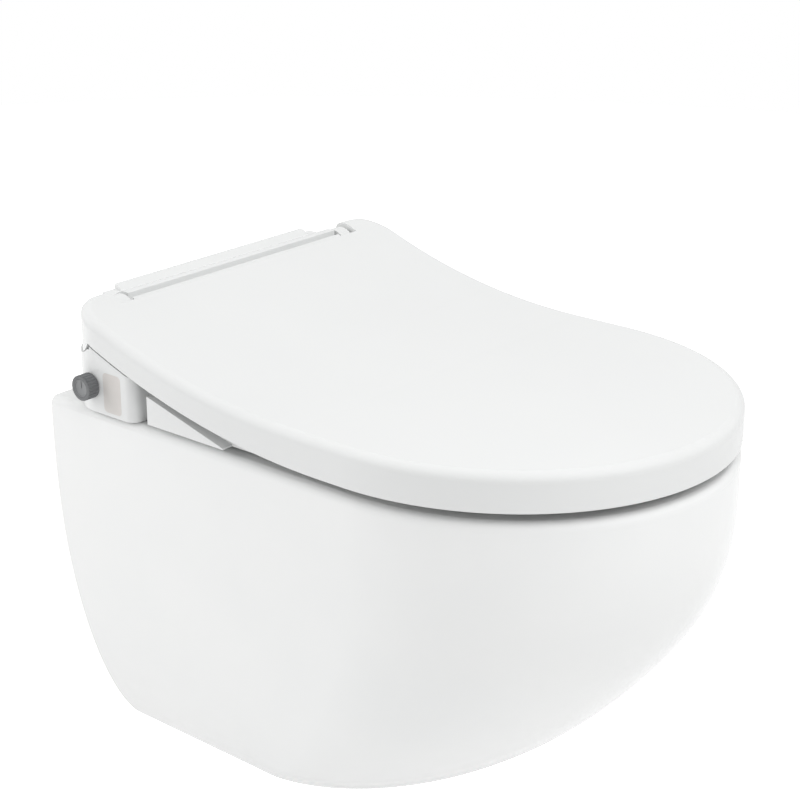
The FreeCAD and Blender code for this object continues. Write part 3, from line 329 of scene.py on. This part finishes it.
looks = {
    "glaze": {
        "colour": (0.9, 0.905, 0.9),
        "shade": (0.88, 0.888, 0.885),
        "roughness": (0.06, 0.11),
        "driftScale": 9,
        "grainScale": 400,
        "bumpStrength": 0.2,
        "bumpDepth": 0.0012,
        "ripple": True,
        "values": {"IOR": 1.52},
        "bare": {
            "reach": 0.0002,
            "fade": 0.0003,
            "colour": (0.78, 0.75, 0.7),
            "shade": (0.66, 0.63, 0.58),
            "roughness": 0.85,
        },
    },
    "white_plastic": {
        "colour": (0.806, 0.814, 0.81),
        "shade": (0.792, 0.8, 0.797),
        "roughness": (0.2, 0.27),
        "driftScale": 7,
        "grainScale": 1500,
        "bumpStrength": 0.06,
        "bumpDepth": 0.0002,
        "values": {"IOR": 1.49},
    },
    "grey_plastic": {
        "colour": (0.43, 0.44, 0.45),
        "shade": (0.39, 0.4, 0.41),
        "roughness": (0.42, 0.58),
        "driftScale": 30,
        "grainScale": 2200,
        "bumpStrength": 0.25,
        "bumpDepth": 0.0002,
    },
    "trim_plastic": {
        "colour": (0.7, 0.67, 0.645),
        "shade": (0.66, 0.635, 0.61),
        "roughness": (0.38, 0.5),
        "driftScale": 60,
        "grainScale": 2400,
        "bumpStrength": 0.2,
        "bumpDepth": 0.0002,
    },
    "knob_plastic": {
        "colour": (0.165, 0.17, 0.175),
        "shade": (0.14, 0.145, 0.15),
        "roughness": (0.36, 0.5),
        "driftScale": 90,
        "grainScale": 2600,
        "bumpStrength": 0.3,
        "bumpDepth": 0.0002,
    },
    "knob_face": {
        "colour": (0.25, 0.255, 0.26),
        "shade": (0.22, 0.225, 0.23),
        "roughness": (0.3, 0.42),
        "driftScale": 120,
        "grainScale": 2600,
        "bumpStrength": 0.2,
        "bumpDepth": 0.0002,
    },
    "tube_plastic": {
        "colour": (0.8, 0.82, 0.84),
        "shade": (0.74, 0.77, 0.8),
        "roughness": (0.28, 0.4),
        "driftScale": 45,
        "grainScale": 1600,
        "bumpStrength": 0.15,
        "bumpDepth": 0.0002,
    },
    "steel": {
        "colour": (0.62, 0.62, 0.63),
        "shade": (0.52, 0.52, 0.53),
        "roughness": (0.24, 0.4),
        "lineScale": 1400,
        "stainScale": 60,
        "bumpStrength": 0.25,
        "bumpDepth": 0.0002,
        "values": {"Metallic": 1},
    },
    "zinc": {
        "colour": (0.6, 0.61, 0.62),
        "shade": (0.46, 0.47, 0.49),
        "roughness": (0.34, 0.52),
        "lineScale": 700,
        "stainScale": 90,
        "bumpStrength": 0.25,
        "bumpDepth": 0.0002,
        "values": {"Metallic": 1},
    },
    "brass": {
        "colour": (0.74, 0.6, 0.31),
        "shade": (0.62, 0.47, 0.22),
        "roughness": (0.2, 0.36),
        "lineScale": 1200,
        "stainScale": 70,
        "bumpStrength": 0.25,
        "bumpDepth": 0.0002,
        "values": {"Metallic": 1},
    },
    "rubber": {
        "colour": (0.3, 0.3, 0.31),
        "shade": (0.25, 0.25, 0.26),
        "roughness": (0.68, 0.85),
        "driftScale": 50,
        "grainScale": 1800,
        "bumpStrength": 0.35,
        "bumpDepth": 0.0003,
    },
}
finishes = {}
for slot, look in looks.items():
    finishes[slot] = newFinish(slot.replace("_", " ").title().replace(" ", ""), look)
for subpart in frame["record"]["subparts"]:
    node = nodes[subpart["node"]]
    node.data.materials.clear()
    node.data.materials.append(finishes[subpart["material_slot"]])
print("finishes set")


# Small pieces, shaped here in place of their nodes
softEdge = {"segments": 2, "bevelAngle": 35, "smoothAngle": 40}
facing = {"side": 0.5, "end": 0.9, "flatEnd": 0.99}
alongX = (0, pi / 2, 0)


def newPiece(name):  # the primitive that was just added, its place moved into its mesh, and in edit mode
    piece = bpy.context.object
    piece.name = name
    bpy.ops.object.transform_apply(location=True, rotation=True, scale=True)
    bpy.ops.object.mode_set(mode="EDIT")
    return piece


def newRod(name, sides, radius, length, middle, turn=(0, 0, 0)):  # a piece that starts as a cylinder
    bpy.ops.object.select_all(action="DESELECT")
    bpy.ops.mesh.primitive_cylinder_add(
        vertices=sides, radius=radius, depth=length, location=middle, rotation=turn
    )
    return newPiece(name)


def selectFaces(piece, wanted):  # in edit mode, the faces that a test names and no others
    bpy.ops.mesh.select_mode(type="FACE")
    bpy.ops.mesh.select_all(action="DESELECT")
    shape = bmesh.from_edit_mesh(piece.data)
    for face in shape.faces:
        face.select_set(wanted(face))
    bmesh.update_edit_mesh(piece.data)


def finishPiece(piece, body, slot, bevelWidth, *replaced):
    bpy.ops.object.mode_set(mode="OBJECT")
    bevel = piece.modifiers.new("softEdges", "BEVEL")
    bevel.width = bevelWidth
    bevel.segments = softEdge["segments"]
    bevel.limit_method = "ANGLE"
    bevel.angle_limit = radians(softEdge["bevelAngle"])
    bpy.ops.object.modifier_apply(modifier=bevel.name)
    bpy.ops.object.shade_smooth_by_angle(angle=radians(softEdge["smoothAngle"]))
    piece.data.materials.clear()
    piece.data.materials.append(finishes[slot])
    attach(piece, body)
    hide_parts(*replaced)


dialShape = {"sides": 96, "fluteSides": 4, "fluteInset": 0.0003, "fluteDepth": 0.00055, "bevel": 0.00025}


def makeDial():  # the side dial, with grip flutes all round and a seat for its cap
    low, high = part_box("knob")
    capLow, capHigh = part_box("knob_cap")
    middle = (low + high) / 2
    radius = (high.z - low.z) / 2
    dial = newRod("dial", dialShape["sides"], radius, high.x - low.x, middle, alongX)
    step = 2 * pi / dialShape["sides"]

    def inFlute(face):
        out = face.calc_center_median() - middle
        turn = round(atan2(out.z, out.y) / step - 0.5) % dialShape["fluteSides"]
        return abs(face.normal.x) < facing["side"] and turn < dialShape["fluteSides"] / 2

    selectFaces(dial, inFlute)
    bpy.ops.mesh.inset(
        thickness=dialShape["fluteInset"], depth=-dialShape["fluteDepth"], use_even_offset=True
    )
    selectFaces(dial, lambda face: face.normal.x < -facing["end"] and len(face.verts) == dialShape["sides"])
    bpy.ops.mesh.inset(thickness=radius - (capHigh.z - capLow.z) / 2, depth=0)
    sink = (capHigh.x - capLow.x, 0, 0)
    bpy.ops.mesh.extrude_region_move(TRANSFORM_OT_translate={"value": sink})
    finishPiece(dial, "knob", "knob_plastic", dialShape["bevel"], "knob")


capShape = {"sides": 64, "gap": 0.0001, "lip": 0.0008, "sink": 0.0005, "markWidth": 0.0011, "bevel": 0.0002}


def makeDialCap():  # the cap in the dial's face: a sunk disc with a raised mark that shows its turn
    low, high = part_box("knob_cap")
    middle = (low + high) / 2
    radius = (high.z - low.z) / 2 - capShape["gap"]
    cap = newRod("dialCap", capShape["sides"], radius, high.x - low.x, middle, alongX)
    selectFaces(cap, lambda face: face.normal.x < -facing["end"])
    bpy.ops.mesh.inset(thickness=capShape["lip"], depth=0)
    bpy.ops.mesh.extrude_region_move(TRANSFORM_OT_translate={"value": (capShape["sink"], 0, 0)})
    markLength = radius - capShape["lip"]
    markSize = (capShape["sink"], capShape["markWidth"], markLength)
    markPlace = (low.x + capShape["sink"] / 2, middle.y, middle.z + markLength / 2)
    bpy.ops.mesh.select_all(action="DESELECT")
    bpy.ops.mesh.primitive_cube_add(size=1, location=markPlace, scale=markSize)
    finishPiece(cap, "knob", "knob_face", capShape["bevel"], "knob_cap")


unionShape = {
    "sides": 64,
    "bore": 0.006,
    "collar": 0.004,
    "threadDepth": 0.0009,
    "threadPitch": 0.0018,
    "plain": 0.0015,
    "weld": 0.00002,
    "bevel": 0.0002,
}


def extrudeRing(middle, along, growth):  # draws the open ring along X and scales it about the pipe's axis
    bpy.ops.mesh.extrude_region_move(TRANSFORM_OT_translate={"value": (along, 0, 0)})
    if growth != 1:
        bpy.ops.transform.resize(value=(1, growth, growth), center_override=middle)


def makeInletUnion():  # the water inlet on the far flank: collar, ground thread and bore
    low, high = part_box("inlet_nipple")
    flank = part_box("housing_cover")[1].x
    middle = (low + high) / 2
    collarRadius = (high.z - low.z) / 2
    mount = next(m for m in frame["record"]["mounts"] if m["name"] == "water_inlet")
    radius = mount["dims"]["r_mm"] / 1000
    bpy.ops.object.select_all(action="DESELECT")
    bpy.ops.mesh.primitive_circle_add(
        vertices=unionShape["sides"],
        radius=unionShape["bore"],
        location=(low.x, middle.y, middle.z),
        rotation=alongX,
    )
    union = newPiece("inletUnion")
    bpy.ops.mesh.select_mode(type="EDGE")
    bpy.ops.mesh.select_all(action="SELECT")
    collarEnd = flank + unionShape["collar"]
    extrudeRing(middle, 0, radius / unionShape["bore"])
    extrudeRing(middle, flank - low.x, 1)
    extrudeRing(middle, 0, collarRadius / radius)
    extrudeRing(middle, collarEnd - flank, 1)
    extrudeRing(middle, 0, radius / collarRadius)
    extrudeRing(middle, unionShape["plain"], 1)
    root = (radius - unionShape["threadDepth"]) / radius
    turns = int((high.x - collarEnd - 2 * unionShape["plain"]) / unionShape["threadPitch"])
    for turn in range(turns):
        extrudeRing(middle, unionShape["threadPitch"] / 2, root)
        extrudeRing(middle, unionShape["threadPitch"] / 2, 1 / root)
    extrudeRing(middle, high.x - collarEnd - unionShape["plain"] - turns * unionShape["threadPitch"], 1)
    extrudeRing(middle, 0, unionShape["bore"] / radius)
    extrudeRing(middle, low.x - high.x, 1)
    bpy.ops.mesh.select_all(action="SELECT")
    bpy.ops.mesh.remove_doubles(threshold=unionShape["weld"])
    bpy.ops.mesh.normals_make_consistent(inside=False)
    finishPiece(union, "bowl_and_housing", "brass", unionShape["bevel"], "inlet_nipple")


tipShape = {
    "sides": 48,
    "flatShare": 0.8,
    "nose": 0.0045,
    "noseSteps": 6,
    "jetFoot": 0.0002,
    "jetSides": 16,
    "jetRadius": 0.0007,
    "jetHeight": 0.0005,
    "jetHole": 0.00035,
    "holeDepth": 0.0004,
    "near": 0.0001,
    "bevel": 0.00015,
}
tipJets = ((-0.0028, 0), (0, 0), (0.0028, 0), (-0.0014, 0.0024), (0.0014, 0.0024))  # across, and forward


def nodeAxis(name, way):  # the middle of a round node's axis, its radius and its length along a given way
    points = [vertex.co for vertex in nodes[name].data.vertices]
    up = Vector((1, 0, 0)).cross(way)
    along = [point.dot(way) for point in points]
    over = [point.dot(up) for point in points]
    across = [point.x for point in points]
    middle = Vector(((min(across) + max(across)) / 2, 0, 0))
    middle += way * (min(along) + max(along)) / 2 + up * (min(over) + max(over)) / 2
    return middle, up, (max(across) - min(across)) / 2, max(along) - min(along)


def makeSprayTip(name, node, body, joint):  # a wand's tip: round nose, a flat on top and five jets on it
    way = next(Vector(one["axis"]).normalized() for one in frame["joints"] if one["name"] == joint)
    middle, up, radius, length = nodeAxis(node, way)
    if up.z < 0:
        up = -up
    turn = way.to_track_quat("Z", "Y").to_euler()
    tip = newRod(name, tipShape["sides"], radius, length, middle, turn)
    selectFaces(tip, lambda face: face.normal.dot(way) > facing["end"])
    bpy.ops.mesh.select_mode(type="EDGE")
    bpy.ops.mesh.bevel(offset=tipShape["nose"], segments=tipShape["noseSteps"], affect="EDGES")
    flat = middle + up * radius * tipShape["flatShare"]
    bpy.ops.mesh.select_all(action="SELECT")
    bpy.ops.mesh.bisect(plane_co=flat, plane_no=up, use_fill=True, clear_outer=True)
    jetTurn = up.to_track_quat("Z", "Y").to_euler()
    rise = tipShape["jetHeight"] / 2 - tipShape["jetFoot"]
    for across, forward in tipJets:
        place = flat + Vector((across, 0, 0)) + way * forward + up * rise
        bpy.ops.mesh.select_all(action="DESELECT")
        bpy.ops.mesh.primitive_cylinder_add(
            vertices=tipShape["jetSides"],
            radius=tipShape["jetRadius"],
            depth=tipShape["jetHeight"],
            location=place,
            rotation=jetTurn,
        )
        jetTop = place + up * tipShape["jetHeight"] / 2
        selectFaces(tip, lambda face: (face.calc_center_median() - jetTop).length < tipShape["near"])
        bpy.ops.mesh.inset(thickness=tipShape["jetRadius"] - tipShape["jetHole"], depth=0)
        bpy.ops.mesh.extrude_region_move(TRANSFORM_OT_translate={"value": -up * tipShape["holeDepth"]})
    finishPiece(tip, body, "tube_plastic", tipShape["bevel"], node)


bumperShape = {
    "sides": 40,
    "round": 0.0011,
    "roundSteps": 4,
    "ring": 0.0022,
    "dimple": 0.0006,
    "bevel": 0.0002,
}
bumpers = {  # places across and along, each with a mirrored one
    "lid": {"node": "lid_buffers", "radius": 0.007, "places": ((0.1391, -0.3491), (0.0677, -0.4761))},
    "seat": {"node": "seat_buffers", "radius": 0.009, "places": ((0.1429, -0.2116), (0.1316, -0.3915))},
}


def makeBumpers(body, bumper):  # soft feet with a rounded rim and a dimple, one modelled, the rest copied
    low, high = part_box(bumper["node"])
    sides = bumperShape["sides"]
    places = [Vector((side * x, y, (low.z + high.z) / 2)) for x, y in bumper["places"] for side in (-1, 1)]
    first = newRod(body + "Bumper1", sides, bumper["radius"], high.z - low.z, places[0])
    selectFaces(first, lambda face: face.normal.z < -facing["end"])
    bpy.ops.mesh.select_mode(type="EDGE")
    bpy.ops.mesh.bevel(offset=bumperShape["round"], segments=bumperShape["roundSteps"], affect="EDGES")
    selectFaces(first, lambda face: face.normal.z < -facing["flatEnd"] and len(face.verts) == sides)
    bpy.ops.mesh.inset(thickness=bumperShape["ring"], depth=0)
    bpy.ops.mesh.extrude_region_move(TRANSFORM_OT_translate={"value": (0, 0, bumperShape["dimple"])})
    finishPiece(first, body, "rubber", bumperShape["bevel"], bumper["node"])
    for count, place in enumerate(places[1:], 2):
        bpy.ops.object.select_all(action="DESELECT")
        copy = first.copy()
        copy.data = first.data.copy()
        copy.name = f"{body}Bumper{count}"
        bpy.context.collection.objects.link(copy)
        for vertex in copy.data.vertices:
            vertex.co += place - places[0]
        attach(copy, body)
        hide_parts(bumper["node"])


makeDial()
makeDialCap()
makeInletUnion()
makeSprayTip("washSprayTip", "wash_tip", "wash_wand", "wash_slide")
makeSprayTip("bidetSprayTip", "bidet_tip", "bidet_wand", "bidet_slide")
for bodyName, bumper in bumpers.items():
    makeBumpers(bodyName, bumper)
print("small pieces shaped")
